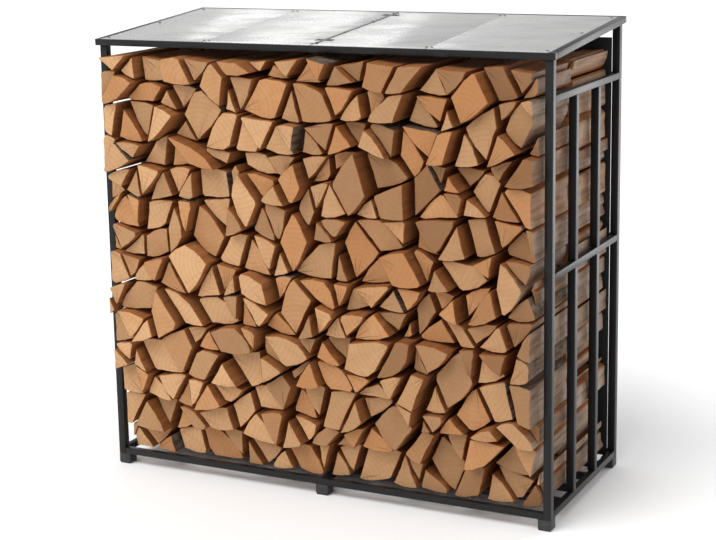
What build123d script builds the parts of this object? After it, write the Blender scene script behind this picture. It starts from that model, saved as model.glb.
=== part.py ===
from build123d import *
import math
import os
import random

os.makedirs("parts", exist_ok=True)

# Driving sizes in millimetres. X runs along the width, Y from the open front to the back,
# and the origin is on the floor in the middle of the whole box.
store_width = 1850
store_depth = 770
roof_front_height = 1722
roof_rise = 62
post_tube = 30
rail_tube = 25
foot_width = 50
foot_height = 42
mid_rail_share = 0.587
upper_rail_drop = 161
side_bar_count = 2
back_bar_count = 3
back_sheet_thickness = 2
back_sheet_drop = 50
back_seam_gap = 1
floor_rail_count = 4
roof_side_overhang = 12
roof_front_overhang = 16
roof_back_overhang = 10
roof_sheet_thickness = 2
roof_panel_count = 4
roof_seam_gap = 1
course_count = 14
logs_per_line = 14
front_tier_count = 7
back_tier_count = 4
row_split_depth = 330
row_split_gap = 8
stack_clearance = 2
front_overhang_of_logs = 58
bottom_course_setback = 28
set_back_courses = 3
log_end_scatter = 38
log_end_limit = 34
row_end_scatter = 12
tight_gap = 0.3
open_gap_least = 7.0
open_gap_most = 34.0
corner_cut_least = 5
corner_cut_most = 24
corner_cut_share = 0.6
corner_cut_limit = 0.26
wander_share = 0.28
least_turn = 0.13
joined_share = 0.42
bark_share = 0.2
bark_reach = 0.22
bark_flat = 0.6
bark_turns = (-0.42, -0.2, 0.2, 0.42)
contact_share = 0.26
contact_place_low = 0.3
contact_place_high = 0.7
contact_tolerance = 0.01
relief_share = 0.88
relief_turn_least = 0.1
relief_turn_most = 0.32
least_edge = 1.5
front_row_seed = 41
back_row_seed = 23

# Heights and spans that follow from them.
rail_bottom = foot_height
rail_top = rail_bottom + rail_tube
half_rail = rail_tube / 2
upper_rail_height = roof_front_height - upper_rail_drop
mid_rail_height = rail_bottom + mid_rail_share * (upper_rail_height - rail_bottom)
roof_run = store_depth + roof_front_overhang + roof_back_overhang
roof_angle = math.atan2(roof_rise, roof_run)
roof_length = math.hypot(roof_run, roof_rise)
front_reach = front_overhang_of_logs + log_end_limit
left_x = -store_width / 2
right_x = store_width / 2
back_reach = roof_back_overhang + rail_tube * math.sin(roof_angle)
front_y = (front_reach - store_depth - back_reach) / 2
back_y = front_y + store_depth
inner_left = left_x + post_tube
inner_right = right_x - post_tube
roof_plane = Plane(
    origin=(0, front_y - roof_front_overhang, roof_front_height),
    x_dir=(1, 0, 0),
    z_dir=(0, -math.sin(roof_angle), math.cos(roof_angle)),
)


def roof_underside(y):
    """Height of the underside of the sloped roof frame at depth y."""
    along = y - front_y + roof_front_overhang
    drop = rail_tube / math.cos(roof_angle)
    return roof_front_height + along * math.tan(roof_angle) - drop


def bar_box(x_low, y_low, z_low, x_high, y_high, z_high):
    """A closed square bar between two corners, added to the open part."""
    centre = ((x_low + x_high) / 2, (y_low + y_high) / 2, (z_low + z_high) / 2)
    with Locations(centre):
        Box(x_high - x_low, y_high - y_low, z_high - z_low)


def corner_post(x_low, y_low):
    """A corner post with its top cut to the slope of the roof frame."""
    y_high = y_low + post_tube
    with BuildSketch(Plane.YZ.offset(x_low)) as section:
        with BuildLine():
            Polyline(
                (y_low, rail_bottom),
                (y_high, rail_bottom),
                (y_high, roof_underside(y_high)),
                (y_low, roof_underside(y_low)),
                close=True,
            )
        make_face()
    extrude(section.sketch, amount=post_tube)


def roof_bar(u_low, v_low, u_high, v_high, top_drop, height):
    """A bar in the plane of the roof, u along the width and v up the slope."""
    with BuildSketch(roof_plane.offset(-top_drop)) as section:
        with Locations(((u_low + u_high) / 2, (v_low + v_high) / 2)):
            Rectangle(u_high - u_low, v_high - v_low)
    extrude(section.sketch, amount=-height)


# Corner posts
back_post_y = back_y - post_tube
with BuildPart() as front_left_post:
    corner_post(left_x, front_y)
front_left_post.part.label = "front_left_post"
export_step(front_left_post.part, "parts/front_left_post.step")

with BuildPart() as front_right_post:
    corner_post(inner_right, front_y)
front_right_post.part.label = "front_right_post"
export_step(front_right_post.part, "parts/front_right_post.step")

with BuildPart() as back_left_post:
    corner_post(left_x, back_post_y)
back_left_post.part.label = "back_left_post"
export_step(back_left_post.part, "parts/back_left_post.step")

with BuildPart() as back_right_post:
    corner_post(inner_right, back_post_y)
back_right_post.part.label = "back_right_post"
export_step(back_right_post.part, "parts/back_right_post.step")

# Side frames: three rails and the bars between them, mirrored left and right
side_rail_levels = [rail_bottom, mid_rail_height - half_rail, upper_rail_height - half_rail]
bar_gap_levels = list(zip(side_rail_levels[:-1], side_rail_levels[1:]))
side_bay = (store_depth - post_tube) / (side_bar_count + 1)


def side_rails(x_outer_low):
    """The three level rails of one side frame."""
    x_outer_high = x_outer_low + rail_tube
    for level in side_rail_levels:
        bar_box(x_outer_low, front_y + post_tube, level, x_outer_high, back_post_y, level + rail_tube)


def side_bars(x_low):
    """The upright bars of one side frame, in two lengths each."""
    for number in range(1, side_bar_count + 1):
        y_low = front_y + number * side_bay
        for lower, upper in bar_gap_levels:
            bar_box(x_low, y_low, lower + rail_tube, x_low + post_tube, y_low + post_tube, upper)


with BuildPart() as left_side_rails:
    side_rails(left_x)
left_side_rails.part.label = "left_side_rails"
export_step(left_side_rails.part, "parts/left_side_rails.step")

with BuildPart() as right_side_rails:
    side_rails(right_x - rail_tube)
right_side_rails.part.label = "right_side_rails"
export_step(right_side_rails.part, "parts/right_side_rails.step")

with BuildPart() as left_side_bars:
    side_bars(left_x)
left_side_bars.part.label = "left_side_bars"
export_step(left_side_bars.part, "parts/left_side_bars.step")

with BuildPart() as right_side_bars:
    side_bars(inner_right)
right_side_bars.part.label = "right_side_bars"
export_step(right_side_bars.part, "parts/right_side_bars.step")

# Front bottom rail, and the back frame that repeats the sides
back_rail_y = back_y - rail_tube
floor_front_y = front_y + rail_tube
with BuildPart() as front_bottom_rail:
    bar_box(inner_left, front_y, rail_bottom, inner_right, floor_front_y, rail_top)
front_bottom_rail.part.label = "front_bottom_rail"
export_step(front_bottom_rail.part, "parts/front_bottom_rail.step")

with BuildPart() as back_rails:
    for level in side_rail_levels:
        bar_box(inner_left, back_rail_y, level, inner_right, back_y, level + rail_tube)
back_rails.part.label = "back_rails"
export_step(back_rails.part, "parts/back_rails.step")

with BuildPart() as back_bars:
    back_bay = (store_width - post_tube) / (back_bar_count + 1)
    for number in range(1, back_bar_count + 1):
        x_low = left_x + number * back_bay
        for lower, upper in bar_gap_levels:
            bar_box(x_low, back_post_y, lower + rail_tube, x_low + post_tube, back_y, upper)
back_bars.part.label = "back_bars"
export_step(back_bars.part, "parts/back_bars.step")

# Sheets on the inside of the back bars, with an air gap left open under the roof
back_sheet_top = roof_underside(back_post_y) - back_sheet_drop
back_sheet_pitch = (inner_right - inner_left) / (back_bar_count + 1)
for number in range(back_bar_count + 1):
    x_low = inner_left + number * back_sheet_pitch + back_seam_gap / 2
    x_high = x_low + back_sheet_pitch - back_seam_gap
    with BuildPart() as back_sheet:
        bar_box(x_low, back_post_y - back_sheet_thickness, rail_top, x_high, back_post_y, back_sheet_top)
    sheet_name = f"back_sheet_{number + 1}"
    back_sheet.part.label = sheet_name
    export_step(back_sheet.part, f"parts/{sheet_name}.step")

# Floor: a cross rail in the middle, and rails along the width that the logs lie on
with BuildPart() as floor_cross_rail:
    bar_box(-half_rail, floor_front_y, rail_bottom, half_rail, back_rail_y, rail_top)
floor_cross_rail.part.label = "floor_cross_rail"
export_step(floor_cross_rail.part, "parts/floor_cross_rail.step")

with BuildPart() as floor_rails:
    floor_bay = (back_rail_y - floor_front_y) / (floor_rail_count + 1)
    for number in range(1, floor_rail_count + 1):
        y_low = floor_front_y + number * floor_bay - half_rail
        bar_box(left_x + rail_tube, y_low, rail_bottom, -half_rail, y_low + rail_tube, rail_top)
        bar_box(half_rail, y_low, rail_bottom, right_x - rail_tube, y_low + rail_tube, rail_top)
floor_rails.part.label = "floor_rails"
export_step(floor_rails.part, "parts/floor_rails.step")

# Feet, flush with the outer corners and under the middle cross rail
foot_lefts = [left_x, -foot_width / 2, right_x - foot_width]
with BuildPart() as front_feet:
    for x_low in foot_lefts:
        bar_box(x_low, front_y, 0, x_low + foot_width, front_y + foot_width, foot_height)
front_feet.part.label = "front_feet"
export_step(front_feet.part, "parts/front_feet.step")

with BuildPart() as back_feet:
    for x_low in foot_lefts:
        bar_box(x_low, back_y - foot_width, 0, x_low + foot_width, back_y, foot_height)
back_feet.part.label = "back_feet"
export_step(back_feet.part, "parts/back_feet.step")

# Roof frame with the sheets let in between its rails
roof_left = left_x - roof_side_overhang
roof_right = right_x + roof_side_overhang
sheet_left = roof_left + rail_tube
sheet_right = roof_right - rail_tube
sheet_top_v = roof_length - rail_tube
panel_pitch = (sheet_right - sheet_left) / roof_panel_count

with BuildPart() as roof_front_rail:
    roof_bar(roof_left, 0, roof_right, rail_tube, 0, rail_tube)
roof_front_rail.part.label = "roof_front_rail"
export_step(roof_front_rail.part, "parts/roof_front_rail.step")

with BuildPart() as roof_back_rail:
    roof_bar(roof_left, sheet_top_v, roof_right, roof_length, 0, rail_tube)
roof_back_rail.part.label = "roof_back_rail"
export_step(roof_back_rail.part, "parts/roof_back_rail.step")

with BuildPart() as roof_left_rail:
    roof_bar(roof_left, rail_tube, sheet_left, sheet_top_v, 0, rail_tube)
roof_left_rail.part.label = "roof_left_rail"
export_step(roof_left_rail.part, "parts/roof_left_rail.step")

with BuildPart() as roof_right_rail:
    roof_bar(sheet_right, rail_tube, roof_right, sheet_top_v, 0, rail_tube)
roof_right_rail.part.label = "roof_right_rail"
export_step(roof_right_rail.part, "parts/roof_right_rail.step")

with BuildPart() as roof_rafters:
    for number in range(1, roof_panel_count):
        u_low = sheet_left + number * panel_pitch - half_rail
        rafter_height = rail_tube - roof_sheet_thickness
        roof_bar(u_low, rail_tube, u_low + rail_tube, sheet_top_v, roof_sheet_thickness, rafter_height)
roof_rafters.part.label = "roof_rafters"
export_step(roof_rafters.part, "parts/roof_rafters.step")

for number in range(roof_panel_count):
    panel_left = sheet_left + number * panel_pitch + roof_seam_gap / 2
    panel_right = panel_left + panel_pitch - roof_seam_gap
    with BuildPart() as roof_sheet:
        roof_bar(panel_left, rail_tube, panel_right, sheet_top_v, 0, roof_sheet_thickness)
    sheet_name = f"roof_sheet_{number + 1}"
    roof_sheet.part.label = sheet_name
    export_step(roof_sheet.part, f"parts/{sheet_name}.step")

# Split firewood. Wavy lines part the courses, and slanting splits between the lines
# make wedges that point up and down in turn. Neighbours join into four-sided logs.
stack_left = inner_left + stack_clearance
stack_right = inner_right - stack_clearance
stack_bottom = rail_top
stack_top = roof_underside(front_y - roof_front_overhang) - stack_clearance
course_height = (stack_top - stack_bottom) / course_count
log_pitch = (stack_right - stack_left) / logs_per_line
wander_x = wander_share * log_pitch
wander_z = wander_share * course_height


def course_line(rng, number):
    """Points from left to right along the line under course `number`."""
    shift = 0.5 if number % 2 else 0.0
    steps = [i + shift for i in range(logs_per_line + 1 - number % 2)]
    if number % 2:
        steps = [0.0] + steps + [float(logs_per_line)]
    points = []
    for step in steps:
        x = stack_left + step * log_pitch
        z = stack_bottom + number * course_height
        if 0 < step < logs_per_line:
            x += rng.uniform(-wander_x, wander_x)
        if 0 < number < course_count:
            z += rng.uniform(-wander_z, wander_z)
        elif number == course_count:
            z -= rng.uniform(0, wander_z)
        points.append((x, z))
    return points


def course_wedges(lower, upper):
    """Triangles of corner names (line, index) between two lines, in order."""
    low_line, low_count = lower
    high_line, high_count = upper
    wedges = []
    if low_count < high_count:
        for i in range(low_count):
            wedges.append(((low_line, i), (high_line, i + 1), (high_line, i)))
            if i + 1 < low_count:
                wedges.append(((low_line, i), (low_line, i + 1), (high_line, i + 1)))
    else:
        for i in range(high_count):
            wedges.append(((low_line, i), (low_line, i + 1), (high_line, i)))
            if i + 1 < high_count:
                wedges.append(((low_line, i + 1), (high_line, i + 1), (high_line, i)))
    return wedges


def cross(a, b, c):
    """Twice the signed area of the triangle a, b, c."""
    return (b[0] - a[0]) * (c[1] - a[1]) - (b[1] - a[1]) * (c[0] - a[0])


def joined(first, second):
    """The outline of two outlines that share one edge, corner by corner."""
    for i, corner in enumerate(first):
        after = first[(i + 1) % len(first)]
        if corner in second and after in second:
            rest = [c for c in second if c not in (corner, after)]
            start = second.index(corner)
            order = [second[(start + k) % len(second)] for k in range(len(second))]
            rest = [c for c in order if c in rest]
            return first[: i + 1] + tuple(rest) + first[i + 1 :]
    return None


def is_convex(outline, place):
    """Whether every corner of the outline turns well to the left."""
    count = len(outline)
    for i in range(count):
        a = place[outline[i - 1]]
        b = place[outline[i]]
        c = place[outline[(i + 1) % count]]
        reach = math.dist(a, b) * math.dist(b, c)
        if cross(a, b, c) < least_turn * reach:
            return False
    return True


def compactness(outline, place):
    """Area over the square of the way round, so a stubby outline scores high."""
    points = [place[c] for c in outline]
    area = sum(cross(points[0], points[i - 1], points[i]) for i in range(2, len(points))) / 2
    way_round = sum(math.dist(points[i - 1], points[i]) for i in range(len(points)))
    return area / way_round**2


def edges_of(outline):
    """The edges of an outline as unordered pairs of corners."""
    count = len(outline)
    return [frozenset((outline[i], outline[(i + 1) % count])) for i in range(count)]


def clipped(points, anchor, normal):
    """The part of a convex outline on the side of the line that the normal leaves."""
    kept = []
    count = len(points)
    for i in range(count):
        a = points[i]
        b = points[(i + 1) % count]
        side_a = (a[0] - anchor[0]) * normal[0] + (a[1] - anchor[1]) * normal[1]
        side_b = (b[0] - anchor[0]) * normal[0] + (b[1] - anchor[1]) * normal[1]
        if side_a <= 0:
            kept.append(a)
        if side_a * side_b < 0:
            share = side_a / (side_a - side_b)
            kept.append((a[0] + share * (b[0] - a[0]), a[1] + share * (b[1] - a[1])))
    return kept


def outward(a, b):
    """Unit normal of the edge a to b, out of an outline drawn to the left."""
    length = math.dist(a, b)
    return ((b[1] - a[1]) / length, -(b[0] - a[0]) / length)


def keeps_contact(section, support):
    """Whether an outline still lies on its support line all along the contact."""
    anchor, normal, low, high = support
    on_line = []
    for x, z in section:
        if abs((x - anchor[0]) * normal[0] + (z - anchor[1]) * normal[1]) < contact_tolerance:
            on_line.append((z - anchor[1]) * normal[0] - (x - anchor[0]) * normal[1])
    if len(on_line) < 2:
        return False
    return min(on_line) <= low + contact_tolerance and max(on_line) >= high - contact_tolerance


def bark_side(section, a, b):
    """The outline with its edge from a to b rounded like the outside of a trunk."""
    normal = outward(a, b)
    along = (-normal[1], normal[0])
    middle = ((a[0] + b[0]) / 2, (a[1] + b[1]) / 2)
    for turn in bark_turns:
        reach = bark_reach * math.dist(a, b) * math.copysign(bark_flat + abs(turn), turn)
        tilt = (
            normal[0] * math.cos(turn) + along[0] * math.sin(turn),
            normal[1] * math.cos(turn) + along[1] * math.sin(turn),
        )
        section = clipped(section, (middle[0] + reach * along[0], middle[1] + reach * along[1]), tilt)
    return section


def relieved(section, pivot, normal, turn):
    """The outline cut back like a wedge from the pivot on, away from its contact."""
    along = (-normal[1], normal[0])
    tilt = (
        normal[0] * math.cos(turn) + along[0] * math.sin(turn),
        normal[1] * math.cos(turn) + along[1] * math.sin(turn),
    )
    return clipped(section, pivot, tilt)


def cut_corner(section, before, here, after, cut):
    """The outline with one corner taken off square to the line into the log."""
    centre = ((before[0] + after[0]) / 2, (before[1] + after[1]) / 2)
    reach = math.dist(here, centre)
    normal = ((here[0] - centre[0]) / reach, (here[1] - centre[1]) / reach)
    return clipped(section, (here[0] - cut * normal[0], here[1] - cut * normal[1]), normal)


def log_section(outline, place, gaps, rng):
    """The end face of one log inside its cell, with gaps, cut corners and bark."""
    corners = [place[c] for c in outline]
    count = len(corners)
    section = list(corners)
    supports = []
    reliefs = []
    free = []
    for i in range(count):
        a = corners[i]
        b = corners[(i + 1) % count]
        length = math.dist(a, b)
        normal = outward(a, b)
        along = (-normal[1], normal[0])
        gap, contact = gaps[frozenset((outline[i], outline[(i + 1) % count]))]
        anchor = (a[0] - gap / 2 * normal[0], a[1] - gap / 2 * normal[1])
        section = clipped(section, anchor, normal)
        if gap > tight_gap:
            free.append((length, a, b))
            continue
        if outline[i] > outline[(i + 1) % count]:
            contact = 1 - contact
        low = (contact - contact_share / 2) * length
        high = (contact + contact_share / 2) * length
        supports.append((anchor, normal, low, high))
        for reach, sense in ((low, -1), (high, 1)):
            if rng.random() < relief_share:
                pivot = (anchor[0] + reach * along[0], anchor[1] + reach * along[1])
                turn = sense * rng.uniform(relief_turn_least, relief_turn_most)
                reliefs.append((pivot, normal, turn))

    def still_seated(outline_now):
        return all(keeps_contact(outline_now, support) for support in supports)

    for pivot, normal, turn in reliefs:
        eased = relieved(section, pivot, normal, turn)
        if still_seated(eased):
            section = eased
    if free and rng.random() < bark_share:
        length, a, b = max(free)
        rounded = bark_side(section, a, b)
        if still_seated(rounded):
            section = rounded
    for i in range(count):
        before = corners[i - 1]
        here = corners[i]
        after = corners[(i + 1) % count]
        if rng.random() < corner_cut_share:
            shorter = min(math.dist(before, here), math.dist(here, after))
            cut = min(rng.uniform(corner_cut_least, corner_cut_most), corner_cut_limit * shorter)
            blunt = cut_corner(section, before, here, after, cut)
            if still_seated(blunt):
                section = blunt
    return [p for i, p in enumerate(section) if math.dist(p, section[i - 1]) > least_edge]


def stacked_row(seed):
    """Logs of one row as (course, end face) pairs, from the floor up."""
    rng = random.Random(seed)
    place = {}
    sizes = []
    for number in range(course_count + 1):
        points = course_line(rng, number)
        sizes.append((number, len(points)))
        for i, point in enumerate(points):
            place[(number, i)] = point
    cells = []
    for number in range(course_count):
        for wedge in course_wedges(sizes[number], sizes[number + 1]):
            cells.append([number, wedge])
    owner = {}
    for index, (number, wedge) in enumerate(cells):
        for edge in edges_of(wedge):
            owner.setdefault(edge, []).append(index)
    order = list(range(len(cells)))
    rng.shuffle(order)
    taken = set()
    logs = []
    for index in order:
        if index in taken:
            continue
        number, outline = cells[index]
        taken.add(index)
        if rng.random() < joined_share:
            near = [i for edge in edges_of(outline) for i in owner[edge] if i not in taken]
            choices = []
            for other in near:
                union = joined(outline, cells[other][1])
                if union and is_convex(union, place):
                    choices.append((compactness(union, place), other, union))
            if choices:
                score, other, outline = max(choices)
                number = min(number, cells[other][0])
                taken.add(other)
        logs.append((number, outline))
    logs.sort()
    gaps = {}
    for number, outline in logs:
        for edge in edges_of(outline):
            if edge not in gaps:
                gaps[edge] = (rng.uniform(open_gap_least, open_gap_most), 0)
    for number, outline in logs:
        count = len(outline)
        facing = []
        for i in range(count):
            a = place[outline[i]]
            b = place[outline[(i + 1) % count]]
            facing.append((outward(a, b)[1], frozenset((outline[i], outline[(i + 1) % count]))))
        facing.sort(key=lambda item: item[0])
        gaps[facing[0][1]] = (tight_gap, rng.uniform(contact_place_low, contact_place_high))
    return [(number, log_section(outline, place, gaps, rng)) for number, outline in logs]


def firewood_tier(name, logs):
    """One tier of logs as separate prisms that lie along Y."""
    with BuildPart() as tier:
        prisms = []
        for end_face, y_front, y_back in logs:
            with BuildSketch(Plane.XZ.offset(-y_front)) as section:
                with BuildLine():
                    Polyline(*end_face, close=True)
                make_face()
            prisms.append(extrude(section.sketch, amount=y_front - y_back, mode=Mode.PRIVATE))
        add(prisms)
    tier.part.label = name
    export_step(tier.part, f"parts/{name}.step")


def tier_of(course, tier_count):
    """The tier, counted from 1, that a course belongs to."""
    return min(tier_count, course * tier_count // course_count + 1)


row_split_y = front_y + row_split_depth
end_rng = random.Random(front_row_seed + back_row_seed)
front_tiers = {}
for course, end_face in stacked_row(front_row_seed):
    set_forward = min(1.0, course / set_back_courses)
    y_front = front_y + bottom_course_setback
    y_front -= set_forward * (bottom_course_setback + front_overhang_of_logs)
    y_front += end_rng.uniform(-log_end_scatter if course else 0, log_end_scatter)
    y_front = max(y_front, front_y - front_reach)
    y_back = row_split_y - row_split_gap / 2 - end_rng.uniform(0, row_end_scatter)
    tier_logs = front_tiers.setdefault(tier_of(course, front_tier_count), [])
    tier_logs.append((end_face, y_front, y_back))
for tier_number, tier_logs in sorted(front_tiers.items()):
    firewood_tier(f"front_firewood_tier_{tier_number}", tier_logs)

back_tiers = {}
for course, end_face in stacked_row(back_row_seed):
    y_front = row_split_y + row_split_gap / 2 + end_rng.uniform(0, row_end_scatter)
    y_back = back_post_y - back_sheet_thickness - stack_clearance - end_rng.uniform(0, log_end_scatter)
    tier_logs = back_tiers.setdefault(tier_of(course, back_tier_count), [])
    tier_logs.append((end_face, y_front, y_back))
for tier_number, tier_logs in sorted(back_tiers.items()):
    firewood_tier(f"back_firewood_tier_{tier_number}", tier_logs)
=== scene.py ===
import math
import random

import bmesh
import bpy
from mathutils import Euler, Matrix, Vector, noise


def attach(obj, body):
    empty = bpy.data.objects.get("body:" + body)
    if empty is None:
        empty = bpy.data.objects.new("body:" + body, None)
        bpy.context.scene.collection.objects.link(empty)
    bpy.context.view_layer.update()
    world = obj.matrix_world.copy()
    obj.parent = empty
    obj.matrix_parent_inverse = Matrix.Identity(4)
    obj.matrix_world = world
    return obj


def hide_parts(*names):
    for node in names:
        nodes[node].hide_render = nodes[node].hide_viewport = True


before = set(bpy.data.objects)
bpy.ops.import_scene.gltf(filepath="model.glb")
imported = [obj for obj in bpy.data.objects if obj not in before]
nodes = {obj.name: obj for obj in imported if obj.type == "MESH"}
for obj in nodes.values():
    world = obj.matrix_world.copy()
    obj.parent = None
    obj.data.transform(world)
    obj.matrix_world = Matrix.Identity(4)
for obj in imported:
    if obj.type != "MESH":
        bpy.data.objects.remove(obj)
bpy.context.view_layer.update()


# Shader maths written as expressions

class Value:
    """A number or vector at one socket of a finish, with arithmetic."""

    def __init__(self, finish, socket):
        self.finish = finish
        self.socket = socket

    def _math(self, operation, first, second=None):
        values = {0: first} if second is None else {0: first, 1: second}
        return self.finish.node("ShaderNodeMath", {"operation": operation}, values).out(0)

    def __add__(self, other):
        return self._math("ADD", self, other)

    def __radd__(self, other):
        return self._math("ADD", other, self)

    def __sub__(self, other):
        return self._math("SUBTRACT", self, other)

    def __rsub__(self, other):
        return self._math("SUBTRACT", other, self)

    def __mul__(self, other):
        return self._math("MULTIPLY", self, other)

    def __rmul__(self, other):
        return self._math("MULTIPLY", other, self)

    def __pow__(self, other):
        return self._math("POWER", self, other)

    def sine(self):
        return self._math("SINE", self)

    def between(self, low, high):
        """0 below low, 1 above high, and an eased slope from one to the other."""
        settings = {"interpolation_type": "SMOOTHSTEP"}
        return self.finish.node("ShaderNodeMapRange", settings, {0: self, 1: low, 2: high}).out(0)


class Placed:
    """One node of a finish, from which its outputs are taken."""

    def __init__(self, finish, node):
        self.finish = finish
        self.node = node

    def out(self, name):
        return Value(self.finish, self.node.outputs[name])


class Finish:
    """A procedural material of this store, built up node by node."""

    def __init__(self, name):
        self.material = bpy.data.materials.new(name)
        self.material.use_nodes = True
        self.tree = self.material.node_tree
        self.tree.nodes.clear()
        self.place = self.node("ShaderNodeTexCoord").out("Object")

    def node(self, kind, settings=None, values=None):
        """Adds a node, sets its settings first, then the values or links of its sockets."""
        node = self.tree.nodes.new(kind)
        for key, value in (settings or {}).items():
            setattr(node, key, value)
        for key, value in (values or {}).items():
            if isinstance(value, Value):
                self.tree.links.new(value.socket, node.inputs[key])
            else:
                node.inputs[key].default_value = value
        return Placed(self, node)

    def vector(self, operation, first, second):
        return self.node("ShaderNodeVectorMath", {"operation": operation}, {0: first, 1: second}).out(0)

    def scaled(self, vector, x, y, z):
        """The vector with its three parts multiplied."""
        return self.vector("MULTIPLY", vector, (x, y, z))

    def noise(self, vector, scale, detail=2.0, rough=0.5, warp=0.0):
        values = {"Vector": vector, "Scale": scale, "Detail": detail, "Roughness": rough}
        values["Distortion"] = warp
        return self.node("ShaderNodeTexNoise", None, values).out(0)

    def cell_colours(self, vector, scale):
        """A colour of its own for each cell of an irregular pattern."""
        values = {"Vector": vector, "Scale": scale}
        return self.node("ShaderNodeTexVoronoi", {"feature": "F1"}, values).out("Color")

    def blend(self, share, first, second):
        """Two colours mixed by a share from 0 to 1."""
        settings = {"data_type": "RGBA", "blend_type": "MIX", "clamp_factor": True}
        return self.node("ShaderNodeMix", settings, {0: share, 6: first, 7: second}).out(2)

    def attribute(self, name, output):
        return self.node("ShaderNodeAttribute", {"attribute_name": name}).out(output)

    def bump(self, height, distance, strength=1.0):
        values = {"Height": height, "Distance": distance, "Strength": strength}
        return self.node("ShaderNodeBump", None, values).out(0)

    def shade(self, colour, roughness, normal=None, **fixed):
        """Joins what varies to the surface shader, with fixed values on its own sockets."""
        values = {"Base Color": colour, "Roughness": roughness}
        if normal is not None:
            values["Normal"] = normal
        for key, value in fixed.items():
            values[key.replace("_", " ")] = value
        surface = self.node("ShaderNodeBsdfPrincipled", None, values).out(0)
        self.node("ShaderNodeOutputMaterial", None, {"Surface": surface})
        return self.material


def tone(red, green, blue):
    return (red, green, blue, 1.0)


# Finishes

def powder_coat(name, colour, roughness):
    """Satin coat with fine orange peel, faint clouding and dusty scuffs."""
    f = Finish(name)
    clouded = tuple(part * 1.5 for part in colour)
    dusty = tuple(part * 2.4 + 0.008 for part in colour)
    cloud = f.noise(f.place, scale=6.0, detail=3.0)
    peel = f.noise(f.place, scale=900.0)
    upright = f.scaled(f.place, 1.0, 1.0, 0.25)
    scuff = f.noise(upright, scale=55.0, detail=5.0, rough=0.7).between(0.62, 0.74)
    base = f.blend(cloud, tone(*colour), tone(*clouded))
    base = f.blend(scuff * 0.5, base, tone(*dusty))
    rough = roughness + cloud * 0.1 + scuff * 0.12
    return f.shade(base, rough, f.bump(peel, 0.00012), Specular_IOR_Level=0.25)


def foot_plastic():
    """Dull black plastic with a fine grain and patches of pale dust."""
    f = Finish("foot_cap_plastic")
    black, dusty = tone(0.014, 0.014, 0.015), tone(0.05, 0.047, 0.043)
    grain = f.noise(f.place, scale=1400.0, detail=1.0)
    dust = f.noise(f.place, scale=30.0, detail=4.0, rough=0.65).between(0.45, 0.75)
    base = f.blend(dust * 0.6, black, dusty)
    return f.shade(base, 0.55 + dust * 0.2, f.bump(grain, 0.0001))


def zinc_sheet():
    """Pale zinc-coated sheet: faint spangle, soft clouding and dried water marks."""
    f = Finish("pale_zinc_sheet")
    dull, bright = tone(0.37, 0.368, 0.366), tone(0.405, 0.405, 0.406)
    pale_cloud, water_mark = tone(0.47, 0.466, 0.458), tone(0.32, 0.312, 0.30)
    spangle = f.cell_colours(f.place, scale=75.0)
    grey = f.node("ShaderNodeRGBToBW", None, {0: spangle}).out(0)
    cloud = f.noise(f.scaled(f.place, 1.0, 1.6, 1.0), scale=2.6, detail=4.0, rough=0.6, warp=0.6)
    streaked = f.scaled(f.place, 1.0, 0.3, 1.0)
    marks = f.noise(streaked, scale=38.0, detail=5.0, rough=0.65).between(0.55, 0.8)
    base = f.blend(grey, dull, bright)
    base = f.blend(cloud.between(0.35, 0.7), base, pale_cloud)
    base = f.blend(marks * 0.35, base, water_mark)
    rough = 0.16 + cloud * 0.2 + marks * 0.15 + grey * 0.05
    wave = f.noise(f.scaled(f.place, 1.0, 1.7, 1.0), scale=3.4, rough=0.4)
    return f.shade(base, rough, f.bump(wave, 0.02, strength=0.6), Metallic=0.4)


def screw_steel():
    """Dark steel, finely mottled."""
    f = Finish("dark_screw_steel")
    mottle = f.noise(f.place, scale=500.0)
    base = f.blend(mottle, tone(0.06, 0.06, 0.062), tone(0.12, 0.12, 0.12))
    return f.shade(base, 0.35 + mottle * 0.15, Metallic=0.9)


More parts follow.
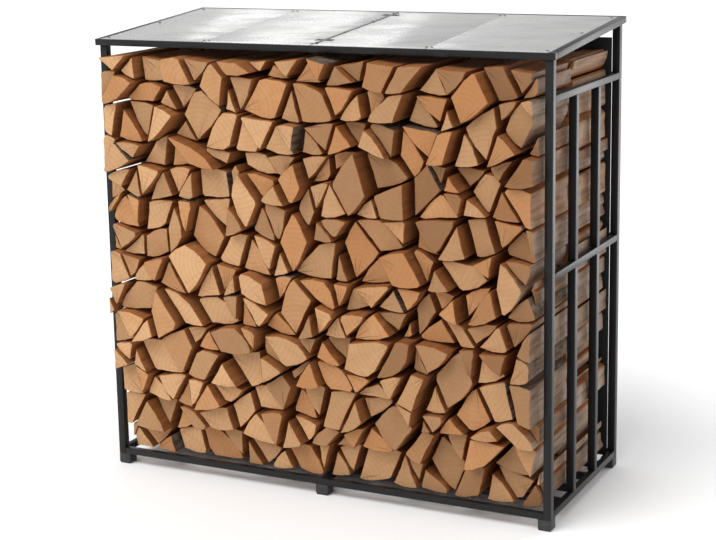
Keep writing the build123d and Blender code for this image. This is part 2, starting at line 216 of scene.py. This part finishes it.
def end_grain():
    """Sawn log end: rings about the pith, ray checks, saw marks and per-log colour, browner towards the
    stack's right as painted shade.
    """
    f = Finish("sawn_end_grain")
    pale, brown, reddish = tone(0.63, 0.37, 0.185), tone(0.19, 0.09, 0.037), tone(0.46, 0.20, 0.072)
    sapwood, heartwood = tone(0.66, 0.43, 0.23), tone(0.34, 0.155, 0.06)
    ring_line, ray_line, crack = tone(0.25, 0.115, 0.045), tone(0.30, 0.15, 0.06), tone(0.11, 0.05, 0.025)
    # Radians to the metre: a ring every 4.3 mm, and a band of rings every 19 mm
    ring_rate, band_rate = 1450.0, 330.0
    pith = f.attribute("log_pith", "Vector")
    tint_and_shade = f.attribute("log_tint_and_shade", "Fac")
    warmth = f.attribute("log_warmth", "Fac")
    flat = f.scaled(f.vector("SUBTRACT", f.place, pith), 1.0, 0.0, 1.0)
    reach = f.node("ShaderNodeVectorMath", {"operation": "LENGTH"}, {0: flat}).out(1)
    away = f.node("ShaderNodeVectorMath", {"operation": "NORMALIZE"}, {0: flat}).out(0)
    wobble = f.noise(f.place, scale=14.0, detail=3.0)
    heart = reach + wobble * 0.03 - 0.02
    grow = (reach + wobble * 0.016) * ring_rate
    rings = (grow.sine() * 0.5 + 0.5) ** 3.0
    bands = ((reach + wobble * 0.02) * band_rate).sine() * 0.5 + 0.5
    fanned = f.vector("ADD", f.scaled(away, 13.0, 1.0, 13.0), f.place)
    rays = f.noise(fanned, scale=1.0, detail=3.0, rough=0.6)
    fanned_from_pith = f.vector("ADD", f.scaled(away, 9.0, 1.0, 9.0), pith)
    checks = f.noise(fanned_from_pith, scale=1.6).between(0.63, 0.68)
    checks = checks * (1.0 - reach.between(0.03, 0.1))
    blotch = f.noise(f.place, scale=22.0, detail=4.0, rough=0.6)
    saw = f.noise(f.scaled(f.place, 30.0, 1.0, 420.0), scale=1.0)
    # The log tint carries painted shade, browner towards the right of the stack.
    base = f.blend(tint_and_shade, pale, brown)
    base = f.blend(warmth.between(0.5, 1.0) * 0.75, base, reddish)
    base = f.blend(blotch.between(0.4, 0.75) * 0.3 * (1.0 - tint_and_shade), base, sapwood)
    base = f.blend(rings * 0.32 + bands * 0.14, base, ring_line)
    base = f.blend(rays.between(0.5, 0.8) * 0.34, base, ray_line)
    base = f.blend(heart.between(0.0, 0.045) * -0.45 + 0.45, base, heartwood)
    base = f.blend(checks * 0.85, base, crack)
    height = 1.0 - checks * 0.9 - rings * 0.12 + saw * 0.2
    return f.shade(base, 0.72 + blotch * 0.15, f.bump(height, 0.0011), Specular_IOR_Level=0.25)


def split_face():
    """Riven side of a log: long fibres and streaks, dark brown inside the stack as painted shade in the gaps
    between logs, and greyer and paler where it faces out at the stack's ends, part weathering and part
    painted light.
    """
    f = Finish("riven_log_side")
    shaded_riven, brown, reddish = tone(0.36, 0.14, 0.044), tone(0.23, 0.074, 0.019), tone(0.28, 0.095, 0.026)
    streak_line, pale_fibre = tone(0.10, 0.042, 0.018), tone(0.48, 0.29, 0.15)
    greyed_and_lit, grey_brown, old_red = tone(0.46, 0.37, 0.29), tone(0.20, 0.115, 0.066), tone(0.36, 0.17, 0.07)
    old_streak, old_fibre = tone(0.085, 0.038, 0.02), tone(0.48, 0.40, 0.33)
    silver = tone(0.40, 0.34, 0.29)
    # The log tint carries painted shade, browner towards the right of the stack.
    tint_and_shade = f.attribute("log_tint_and_shade", "Fac")
    warmth = f.attribute("log_warmth", "Fac")
    fibre = f.noise(f.scaled(f.place, 260.0, 7.0, 260.0), scale=1.0, detail=4.0, rough=0.65)
    streak = f.noise(f.scaled(f.place, 50.0, 3.0, 50.0), scale=1.0, detail=3.0, rough=0.6, warp=0.5)
    patch = f.noise(f.place, scale=9.0, detail=3.0)
    outer = f.attribute("outer_face", "Fac")
    # The dark brown riven colours are painted shade for the gaps between logs.
    base = f.blend(tint_and_shade, shaded_riven, brown)
    base = f.blend(warmth.between(0.55, 1.0) * 0.7, base, reddish)
    base = f.blend(streak.between(0.45, 0.8) * 0.6, base, streak_line)
    base = f.blend(fibre.between(0.45, 0.8) * 0.25, base, pale_fibre)
    # Paler colours where faces look out at the stack's ends: part weathering, part painted light.
    weathered_and_lit = f.blend(tint_and_shade, greyed_and_lit, grey_brown)
    weathered_and_lit = f.blend(warmth.between(0.6, 0.9) * 0.7, weathered_and_lit, old_red)
    weathered_and_lit = f.blend(streak.between(0.35, 0.75) * 0.75, weathered_and_lit, old_streak)
    weathered_and_lit = f.blend(patch.between(0.45, 0.7) * 0.4, weathered_and_lit, silver)
    weathered_and_lit = f.blend(fibre.between(0.5, 0.8) * 0.35, weathered_and_lit, old_fibre)
    base = f.blend(outer, base, weathered_and_lit)
    return f.shade(base, 0.8, f.bump(fibre + streak * 1.5, 0.0016), Specular_IOR_Level=0.2)


def log_bark():
    """Bark: plates along the log with dark furrows between them, grey-brown with paler patches."""
    f = Finish("log_bark")
    grey_brown, dark_brown = tone(0.215, 0.15, 0.10), tone(0.12, 0.075, 0.048)
    pale_patch, dark_speck = tone(0.30, 0.25, 0.20), tone(0.10, 0.065, 0.042)
    furrow_floor = tone(0.045, 0.025, 0.015)
    # The log tint carries painted shade, browner towards the right of the stack.
    tint_and_shade = f.attribute("log_tint_and_shade", "Fac")
    ridge = f.noise(f.scaled(f.place, 95.0, 9.0, 95.0), scale=1.0, detail=4.0, rough=0.6, warp=0.8)
    furrow = 1.0 - ridge.between(0.36, 0.52)
    speck = f.noise(f.scaled(f.place, 160.0, 60.0, 160.0), scale=1.0, detail=4.0, rough=0.7)
    patch = f.noise(f.place, scale=16.0, detail=3.0)
    base = f.blend(tint_and_shade, grey_brown, dark_brown)
    base = f.blend(patch.between(0.45, 0.7) * 0.6, base, pale_patch)
    base = f.blend(speck.between(0.5, 0.8) * 0.35, base, dark_speck)
    base = f.blend(furrow * 0.75, base, furrow_floor)
    height = ridge.between(0.3, 0.7) + speck * 0.25
    return f.shade(base, 0.88, f.bump(height, 0.0028), Specular_IOR_Level=0.15)


def studio_floor():
    """Matt white floor with the faintest mottle."""
    f = Finish("studio_floor")
    mottle = f.noise(f.place, scale=1.4, detail=3.0)
    return f.shade(f.blend(mottle, tone(0.92, 0.92, 0.92), tone(0.95, 0.95, 0.95)), 0.9)


black_coat = powder_coat("satin_black_coat", (0.0075, 0.0075, 0.008), 0.32)
sheet_coat = powder_coat("back_sheet_coat", (0.006, 0.006, 0.0065), 0.4)
cap_plastic = foot_plastic()
zinc = zinc_sheet()
screws_dark = screw_steel()
log_finishes = [end_grain(), split_face(), log_bark()]


# Shaping helpers

weld_distance = 0.00002
flat_within = math.radians(0.7)
least_edge = 0.00005


def box(name):
    """The low and the high corner of a node of the store."""
    corners = [vert.co for vert in nodes[name].data.vertices]
    return Vector(map(min, zip(*corners))), Vector(map(max, zip(*corners)))


def merged_copy(name):
    """A working copy of a node with its loose triangles joined into flat faces."""
    shape = bmesh.new()
    shape.from_mesh(nodes[name].data)
    bmesh.ops.remove_doubles(shape, verts=shape.verts, dist=weld_distance)
    bmesh.ops.dissolve_limit(shape, angle_limit=flat_within, verts=shape.verts, edges=shape.edges)
    return shape


def separate_parts(shape):
    """Each unconnected part of a shape, such as one log of a tier, as a list of faces."""
    shape.faces.index_update()
    left = set(shape.faces)
    while left:
        start = min(left, key=lambda face: face.index)
        part, ahead = {start}, [start]
        while ahead:
            face = ahead.pop()
            for edge in face.edges:
                for other in edge.link_faces:
                    if other not in part:
                        part.add(other)
                        ahead.append(other)
        left -= part
        yield sorted(part, key=lambda face: face.index)


def points_of(faces):
    """The vertices of some faces, each once and in a steady order."""
    return list(dict.fromkeys(vert for face in faces for vert in face.verts))


def edges_of(faces):
    """The edges of some faces, each once and in a steady order."""
    return list(dict.fromkeys(edge for face in faces for edge in face.edges))


def middle_of(verts):
    return sum((vert.co for vert in verts), Vector()) / len(verts)


def bevelled(shape, edges, width, segments):
    bmesh.ops.bevel(
        shape, geom=edges, offset=width, segments=segments, profile=0.5,
        affect="EDGES", clamp_overlap=True, material=-1,
    )


def cut_across(shape, place, direction, snap):
    """Adds edges where a plane crosses the shape, and takes nothing away."""
    geom = [*shape.verts, *shape.edges, *shape.faces]
    bmesh.ops.bisect_plane(shape, geom=geom, dist=snap, plane_co=place, plane_no=direction)


def block(shape, low, high):
    """A box between two corners, added to the shape."""
    low, high = Vector(low), Vector(high)
    place = Matrix.Translation((low + high) / 2) @ Matrix.Diagonal((*(high - low), 1.0))
    return bmesh.ops.create_cube(shape, size=1.0, matrix=place)["verts"]


def finished_piece(shape, name, materials, replaced=(), smooth_below=35.0):
    """Turns a shape into a piece that rides on the store and takes its finishes."""
    bmesh.ops.dissolve_degenerate(shape, dist=least_edge, edges=shape.edges)
    bmesh.ops.recalc_face_normals(shape, faces=shape.faces)
    for face in shape.faces:
        face.smooth = True
    for edge in shape.edges:
        edge.smooth = edge.calc_face_angle(math.pi) < math.radians(smooth_below)
    mesh = bpy.data.meshes.new(name)
    shape.to_mesh(mesh)
    shape.free()
    piece = bpy.data.objects.new(name, mesh)
    bpy.context.scene.collection.objects.link(piece)
    for material in materials:
        mesh.materials.append(material)
    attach(piece, "root")
    if replaced:
        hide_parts(*replaced)


def rounded_bars(name, material, radius):
    """Bars or sheets of the store again, with slightly rounded edges."""
    shape = merged_copy(name)
    bevelled(shape, list(shape.edges), radius, 2)
    finished_piece(shape, f"{name}_tube", [material], [name])


# Split firewood

front_tiers, back_tiers = 7, 4
back_seed_start = 20
END, RIVEN, BARK = 0, 1, 2
end_facing = 0.9

# How far outer logs are drawn in, for logs whose middle lies well inside the stack's end
outer_scatter = 0.018
at_stack_end = 0.003
least_half_log = 0.03

# The pith lies about the sharpest corner, from just inside it to well beyond it
pith_inside, pith_beyond = -0.05, 0.35

# Tints run browner to the right, over the half width of the stack; the lean to the right is painted shade,
# the random part is each log's own tint
half_width = 0.9
tint_spread, painted_shade_lean, tint_start = 0.62, 0.5, -0.06

# Bark is on a few logs, on faces far enough from the pith that look away from it
bark_share = 0.16
bark_reach = 0.045
bark_facing = 0.84

# Outer long edges are rounded like the trunk's outside; outer faces turn paler, part weathering and part
# painted light, while inner faces and turned-away rounded faces stay dark as painted shade
outer_margin = 0.004
lengthwise_run = 0.05
outer_rounding, outer_segments = 0.020, 3
outer_depth = 0.05
lit_and_weathered_from, lit_and_weathered_gain = 0.75, 5.0

log_ease, eased_above = 0.0018, 0.45
cut_snap = 0.0008
level_run = 0.0003
most_cuts = 9
log_smooth_below = 42.0

# Uneven depth of the split faces, drawn in towards the middle of the log, and the waves
# to the metre across and along the log
mean_depth, wave_depth, ridge_depth, splinter_depth = 0.0020, 0.0020, 0.0026, 0.0006
wave_rates, ridge_rates, splinter_rates = (11, 3.0), (46, 2.2), (120, 9.0)
least_thickness = 0.004
most_drawn_share = 0.3


def set_in(log, low, high, depth):
    """Draws the outer side of a log at the end of the stack in by a depth."""
    verts = points_of(log)
    centre = sum(vert.co.x for vert in verts) / len(verts)
    for vert in verts:
        if vert.co.x < low + at_stack_end and centre - low > least_half_log:
            vert.co.x += depth
        elif vert.co.x > high - at_stack_end and high - centre > least_half_log:
            vert.co.x -= depth


def mark_logs(shape, draw):
    """Gives each log a pith, a colour tone that leans browner to the right as painted shade, and a warmth,
    and marks its end, riven and bark faces.
    """
    pith_layer = shape.verts.layers.float_vector.new("log_pith")
    tint_and_shade_layer = shape.verts.layers.float.new("log_tint_and_shade")
    warmth_layer = shape.verts.layers.float.new("log_warmth")
    shape.normal_update()
    low = min(vert.co.x for vert in shape.verts)
    high = max(vert.co.x for vert in shape.verts)
    for log in separate_parts(shape):
        set_in(log, low, high, draw.uniform(0.0, outer_scatter))
        ends = [face for face in log if abs(face.normal.y) > end_facing]
        front = min(ends, key=lambda face: face.calc_center_median().y)
        corner = min(front.loops, key=lambda loop: loop.calc_angle()).vert.co.copy()
        centre = front.calc_center_median()
        beyond = draw.uniform(pith_inside, pith_beyond)
        pith = corner + (corner - centre) * beyond
        lean = (centre.x + half_width) / (2 * half_width)
        # The lean term is painted shade: logs further right are drawn browner.
        tint_and_shade = max(0.0, min(1.0, draw.random() * tint_spread + lean * painted_shade_lean + tint_start))
        warmth = draw.random()
        has_bark = draw.random() < bark_share
        for face in log:
            face.material_index = END if face in ends else RIVEN
            if face not in ends and has_bark:
                outward = face.calc_center_median() - pith
                outward.y = 0.0
                if outward.length > bark_reach and face.normal.dot(outward.normalized()) > bark_facing:
                    face.material_index = BARK
            for vert in face.verts:
                vert[pith_layer] = pith
                vert[tint_and_shade_layer] = tint_and_shade
                vert[warmth_layer] = warmth


def round_outer_edges(shape):
    """Rounds the long edges at the two ends of the stack, and marks the faces there that look out, which are
    coloured paler, part weathering and part painted light.
    """
    low = min(vert.co.x for vert in shape.verts) + outer_margin + outer_scatter
    high = max(vert.co.x for vert in shape.verts) - outer_margin - outer_scatter
    for log in [edges_of(log) for log in separate_parts(shape)]:
        outer = []
        for edge in log:
            first, second = (vert.co for vert in edge.verts)
            lengthwise = abs(first.y - second.y) > lengthwise_run
            if lengthwise and (max(first.x, second.x) < low or min(first.x, second.x) > high):
                outer.append(edge)
        if outer:
            bevelled(shape, outer, outer_rounding, outer_segments)
    outer_layer = shape.faces.layers.float.new("outer_face")
    shape.normal_update()
    for face in shape.faces:
        across = face.calc_center_median().x
        sideways = face.normal.x if across > 0 else -face.normal.x
        deep = low + outer_depth < across < high - outer_depth
        # Faces looking out get the paler painted light; inner faces and turned-away rounded faces keep the
        # dark painted shade.
        share = max(0.0, min(1.0, (sideways - lit_and_weathered_from) * lit_and_weathered_gain))
        face[outer_layer] = 0.0 if deep else share


def ease_edges(shape):
    """Takes the sharpness off every log, one log at a time."""
    for log in [edges_of(log) for log in separate_parts(shape)]:
        sharp = [edge for edge in log if edge.calc_face_angle(0.0) > eased_above]
        bevelled(shape, sharp, log_ease, 1)


def ring_cuts(shape, spacing):
    """Cuts the logs across their length, so that their sides can be roughened."""
    low = min(vert.co.y for vert in shape.verts)
    high = max(vert.co.y for vert in shape.verts)
    count = int((high - low) / spacing)
    for step in range(1, count + 1):
        y = low + (high - low) * (step - 0.5) / count
        cut_across(shape, (0, y, 0), (0, 1, 0), cut_snap)


def divide_round(shape, spacing):
    """Divides the edges that run round the logs into short lengths."""
    groups = {}
    for edge in shape.edges:
        run = edge.verts[1].co - edge.verts[0].co
        if abs(run.y) < level_run:
            cuts = min(most_cuts, int(run.length / spacing))
            if cuts:
                groups.setdefault(cuts, []).append(edge)
    for cuts, edges in sorted(groups.items()):
        bmesh.ops.subdivide_edges(shape, edges=edges, cuts=cuts)


def grain(place, across, along):
    """Noise with so many waves to the metre across a log and along it."""
    return noise.noise(Vector((place.x * across, place.y * along, place.z * across)))


def roughen(shape, seed):
    """Draws the split faces in by the uneven depth that the grain leaves."""
    pith_layer = shape.verts.layers.float_vector["log_pith"]
    shift = Vector((seed * 3.1, seed * 1.7, seed * 5.3))
    for log in separate_parts(shape):
        verts = points_of(log)
        centre = middle_of(verts)
        for vert in verts:
            inward = centre - vert.co
            inward.y = 0.0
            thickness = inward.length
            if thickness < least_thickness:
                continue
            place = vert.co + shift + vert[pith_layer]
            wave = grain(place, *wave_rates)
            ridge = grain(place, *ridge_rates)
            splinter = grain(place, *splinter_rates)
            depth = mean_depth + wave_depth * wave
            depth = depth + ridge_depth * (ridge + 1) * 0.5 + splinter_depth * splinter
            vert.co += inward / thickness * max(0.0, min(depth, thickness * most_drawn_share))


def firewood(name, seed, ring_spacing, round_spacing):
    """A tier of split logs, with rough sides and a character for each log."""
    shape = merged_copy(name)
    mark_logs(shape, random.Random(seed))
    round_outer_edges(shape)
    ease_edges(shape)
    ring_cuts(shape, ring_spacing)
    divide_round(shape, round_spacing)
    roughen(shape, seed)
    finished_piece(shape, f"{name}_logs", log_finishes, [name], log_smooth_below)


for number in range(1, front_tiers + 1):
    firewood(f"front_firewood_tier_{number}", number, ring_spacing=0.045, round_spacing=0.010)
for number in range(1, back_tiers + 1):
    seed = back_seed_start + number
    firewood(f"back_firewood_tier_{number}", seed, ring_spacing=0.06, round_spacing=0.013)


# Steel frame

tube_corner = 0.0022
sheet_edge = 0.0006
back_sheets = 4
cap_corner = 0.0018
tread_cut, tread_top = 0.008, 0.004
tread_share = 0.9
tread_snap = 0.00001


def foot_caps(name):
    """Square caps with a slightly narrower tread at the floor."""
    shape = merged_copy(name)
    cut_across(shape, (0, 0, tread_cut), (0, 0, 1), tread_snap)
    for foot in separate_parts(shape):
        verts = points_of(foot)
        centre = middle_of(verts)
        for vert in verts:
            if vert.co.z < tread_top:
                vert.co.x = centre.x + (vert.co.x - centre.x) * tread_share
                vert.co.y = centre.y + (vert.co.y - centre.y) * tread_share
    bevelled(shape, list(shape.edges), cap_corner, 2)
    finished_piece(shape, f"{name}_caps", [cap_plastic], [name])


for name in (
    "front_left_post", "front_right_post", "back_left_post", "back_right_post",
    "left_side_bars", "right_side_bars", "back_bars", "left_side_rails", "right_side_rails",
    "front_bottom_rail", "back_rails", "floor_cross_rail", "floor_rails",
    "roof_front_rail", "roof_back_rail", "roof_left_rail", "roof_right_rail", "roof_rafters",
):
    rounded_bars(name, black_coat, tube_corner)
for number in range(1, back_sheets + 1):
    rounded_bars(f"back_sheet_{number}", sheet_coat, sheet_edge)
foot_caps("front_feet")
foot_caps("back_feet")


# Roof sheets, their seams and screws, and the nuts on the back

roof_sheets = 4
half_seam = 0.0005

# A sheet's eased long edges, and its lip over the front rail
seam_ease = 0.0017
along_seam = 0.001
least_seam = 0.1
lip_reach, lip_gap, lip_top = 0.0225, 0.0001, 0.0012

# Screw heads: the top narrower than the foot, with a socket sunk into it
head_sides = 12
head_taper = 0.8
socket_rim = 0.4
socket_sink = 0.5
large_head, small_head = 0.006, 0.0045
sheet_head_height, plate_head_height = 0.0018, 0.0016
head_smooth_below = 40.0

# The strip over the middle seam, and the two pairs of clips beside it
strip_half_width, strip_top = 0.006, 0.0011
strip_from_front, strip_from_back = 0.004, 0.012
strip_ease = 0.0004
strip_screw_foot = 0.001
strip_screw_first, strip_screw_shares = 0.035, (0.35, 0.68)
clip_half_width, clip_half_length, clip_top = 0.013, 0.012, 0.0014
clip_aside = 0.022
clip_from_front, clip_from_back = 0.095, 0.075
clip_ease = 0.0005
clip_screw_foot = 0.0013

# Screws in the sheets, over the rafters, the front rail and the back rail
seam_screw_aside = 0.0105
screw_from_side = 0.016
screw_from_front, screw_from_back = 0.013, 0.03

nut_height = 0.003
nut_shares = (0.03, 0.27, 0.5, 0.74, 0.97)


def highest_face(name):
    """The corners and the normal of a node's upper face."""
    shape = merged_copy(name)
    shape.normal_update()
    face = max(shape.faces, key=lambda face: face.normal.z)
    corners = [vert.co.copy() for vert in face.verts]
    normal = face.normal.copy()
    shape.free()
    return corners, normal


def on_roof():
    """The matrix that takes (across, up the slope, above the sheet) to the store, and the slope's length."""
    corners, normal = highest_face("roof_sheet_1")
    slope = math.atan2(-normal.y, normal.z)
    front = min(corners, key=lambda corner: corner.y)
    uphill = Vector((0, math.cos(slope), math.sin(slope)))
    length = max((corner - front).dot(uphill) for corner in corners)
    return Matrix.Translation((0.0, front.y, front.z)) @ Matrix.Rotation(slope, 4, "X"), length


def roof_pan(name, roof):
    """A roof sheet with eased seams and a thin lip that lies over the front rail."""
    low, high = box(name)
    shape = merged_copy(name)
    seams = [edge for edge in shape.edges if abs(edge.verts[0].co.x - edge.verts[1].co.x) < along_seam]
    bevelled(shape, [edge for edge in seams if edge.calc_length() > least_seam], seam_ease, 2)
    lip_low = (low.x + seam_ease, -lip_reach, lip_gap)
    lip_high = (high.x - seam_ease, -lip_gap, lip_top)
    bmesh.ops.transform(shape, matrix=roof, verts=block(shape, lip_low, lip_high))
    finished_piece(shape, f"{name}_pan", [zinc], [name])


def roof_plates(name, roof, plates, ease):
    """Thin black plates on the roof, each between two corners in the roof's own directions."""
    shape = bmesh.new()
    for low, high in plates:
        block(shape, low, high)
    bmesh.ops.transform(shape, matrix=roof, verts=shape.verts)
    bevelled(shape, list(shape.edges), ease, 1)
    finished_piece(shape, name, [black_coat])


def screw_head(shape, place, radius, height):
    """A low screw head with a socket, its axis along the place's Z."""
    verts = bmesh.ops.create_cone(
        shape, cap_ends=True, segments=head_sides, radius1=radius, radius2=radius * head_taper,
        depth=height, matrix=place @ Matrix.Translation((0, 0, height / 2)),
    )["verts"]
    axis = place.to_3x3() @ Vector((0, 0, 1))
    faces = {face for vert in verts for face in vert.link_faces}
    shape.normal_update()
    top = max(faces, key=lambda face: face.normal.dot(axis) + face.calc_area())
    rim, sink = radius * socket_rim, height * socket_sink
    bmesh.ops.inset_individual(shape, faces=[top], thickness=rim, depth=-sink)


def roof_details():
    """The roof sheets, the strip and clips on the middle seam, and all the roof's screws."""
    roof, length = on_roof()
    for number in range(1, roof_sheets + 1):
        roof_pan(f"roof_sheet_{number}", roof)
    seams = [box(f"roof_sheet_{number}")[1].x + half_seam for number in range(1, roof_sheets)]
    middle = seams[1]

    strip_low = (middle - strip_half_width, strip_from_front, 0.0)
    strip_high = (middle + strip_half_width, length - strip_from_back, strip_top)
    roof_plates("roof_centre_seam_strip", roof, [(strip_low, strip_high)], strip_ease)

    clips, clip_plates = [], []
    for up in (clip_from_front, length - clip_from_back):
        for across in (middle - clip_aside, middle + clip_aside):
            clips.append((across, up))
            clip_low = (across - clip_half_width, up - clip_half_length, 0.0)
            clip_high = (across + clip_half_width, up + clip_half_length, clip_top)
            clip_plates.append((clip_low, clip_high))
    roof_plates("roof_seam_clips", roof, clip_plates, clip_ease)

    screws = []
    for up in (strip_screw_first, *(length * share for share in strip_screw_shares)):
        screws.append((middle, up, strip_screw_foot, large_head, plate_head_height))
    for across, up in clips:
        screws.append((across, up, clip_screw_foot, large_head, plate_head_height))
    for seam in seams:
        for across in (seam - seam_screw_aside, seam + seam_screw_aside):
            for up in (screw_from_front, length - screw_from_back):
                screws.append((across, up, 0.0, small_head, sheet_head_height))
    left_side = box("roof_sheet_1")[0].x + screw_from_side
    right_side = box(f"roof_sheet_{roof_sheets}")[1].x - screw_from_side
    for across in (left_side, right_side):
        for up in (screw_from_front, length * 0.5, length - screw_from_back):
            screws.append((across, up, 0.0, large_head, sheet_head_height))
    heads = bmesh.new()
    for across, up, foot, radius, height in screws:
        screw_head(heads, roof @ Matrix.Translation((across, up, foot)), radius, height)
    finished_piece(heads, "roof_sheet_screws", [screws_dark], (), head_smooth_below)


def back_details():
    """Round nuts on the back bars, where the screws of the back sheets come through."""
    nuts = bmesh.new()
    bar_low, bar_high = box("back_bars")
    outward = Matrix.Rotation(math.radians(90), 4, "X").inverted()
    for number in range(1, back_sheets):
        across = box(f"back_sheet_{number}")[1].x + half_seam
        for share in nut_shares:
            height = bar_low.z + (bar_high.z - bar_low.z) * share
            place = Matrix.Translation((across, bar_high.y, height)) @ outward
            screw_head(nuts, place, large_head, nut_height)
    finished_piece(nuts, "back_sheet_nuts", [screws_dark], (), head_smooth_below)


roof_details()
back_details()


# Studio

floor_half_width = 30.0
sun_width = math.radians(50)

# The camera stands where the photograph's would, and its frame is moved down by some pixels
photo_width = 716.0
frame_drop = 50.0
film_width, lens_length = 36.0, 83.983
camera_yaw, camera_pitch, camera_roll = 0.46106, -0.20151, -0.01789
camera_place = (2.83472, -5.69781, 2.30966)


def studio():
    """A wide pale floor under white air."""
    shape = bmesh.new()
    bmesh.ops.create_grid(shape, x_segments=1, y_segments=1, size=floor_half_width)
    mesh = bpy.data.meshes.new("studio_floor")
    shape.to_mesh(mesh)
    shape.free()
    floor = bpy.data.objects.new("studio_floor", mesh)
    bpy.context.scene.collection.objects.link(floor)
    mesh.materials.append(studio_floor())
    bpy.context.scene.world = studio_air()


def studio_air():
    """White air that is brightest at the horizon, so that it meets the floor unseen."""
    horizon_top, sky_start = 0.06, 0.4
    horizon_strength, sky_strength = 1.0, 0.68
    world = bpy.data.worlds.new("studio_air")
    world.use_nodes = True
    tree = world.node_tree
    air = tree.nodes["Background"]
    air.inputs["Color"].default_value = (1.0, 1.0, 1.0, 1.0)
    direction = tree.nodes.new("ShaderNodeTexCoord")
    parts = tree.nodes.new("ShaderNodeSeparateXYZ")
    fade = tree.nodes.new("ShaderNodeMapRange")
    fade.interpolation_type = "SMOOTHSTEP"
    for socket, value in enumerate((horizon_top, sky_start, horizon_strength, sky_strength), start=1):
        fade.inputs[socket].default_value = value
    tree.links.new(direction.outputs["Generated"], parts.inputs[0])
    tree.links.new(parts.outputs["Z"], fade.inputs[0])
    tree.links.new(fade.outputs[0], air.inputs["Strength"])
    return world


def lamp_of(name, light):
    lamp = bpy.data.objects.new(name, light)
    bpy.context.scene.collection.objects.link(lamp)
    return lamp


def soft_light(name, place, aim, width, height, watts):
    """A large soft panel light that looks at a point."""
    light = bpy.data.lights.new(name, "AREA")
    light.shape = "RECTANGLE"
    light.size, light.size_y = width, height
    light.energy = watts
    lamp = lamp_of(name, light)
    lamp.location = place
    lamp.rotation_euler = (Vector(aim) - Vector(place)).to_track_quat("-Z", "Y").to_euler()


def soft_sun(name, toward, strength):
    """A broad sun-like light that keeps the whole floor evenly pale."""
    light = bpy.data.lights.new(name, "SUN")
    light.angle = sun_width
    light.energy = strength
    lamp = lamp_of(name, light)
    lamp.rotation_euler = Vector(toward).to_track_quat("Z", "Y").to_euler()


def photo_camera():
    """The camera at the photograph's angle, in the frame of 716 by 540."""
    camera = bpy.data.cameras.new("photo_camera")
    camera.sensor_width = film_width
    camera.lens = lens_length
    camera.shift_y = -frame_drop / photo_width
    eye = bpy.data.objects.new("photo_camera", camera)
    level = Euler((math.pi / 2 + camera_pitch, 0.0, camera_yaw)).to_matrix()
    eye.rotation_euler = (level @ Matrix.Rotation(camera_roll, 3, "Z")).to_euler()
    eye.location = camera_place
    bpy.context.scene.collection.objects.link(eye)
    bpy.context.scene.camera = eye


studio()
soft_sun("key_sun", toward=(-0.45, -1.0, 1.25), strength=2.3)
soft_light("right_panel", place=(3.4, 3.8, 1.1), aim=(0.93, 0.0, 0.9), width=2.4, height=2.0, watts=70)
soft_light("roof_panel", place=(-2.9, 4.9, 3.5), aim=(-0.2, 0.0, 1.75), width=1.4, height=0.9, watts=9)
photo_camera()
bpy.context.scene.view_settings.view_transform = "Standard"
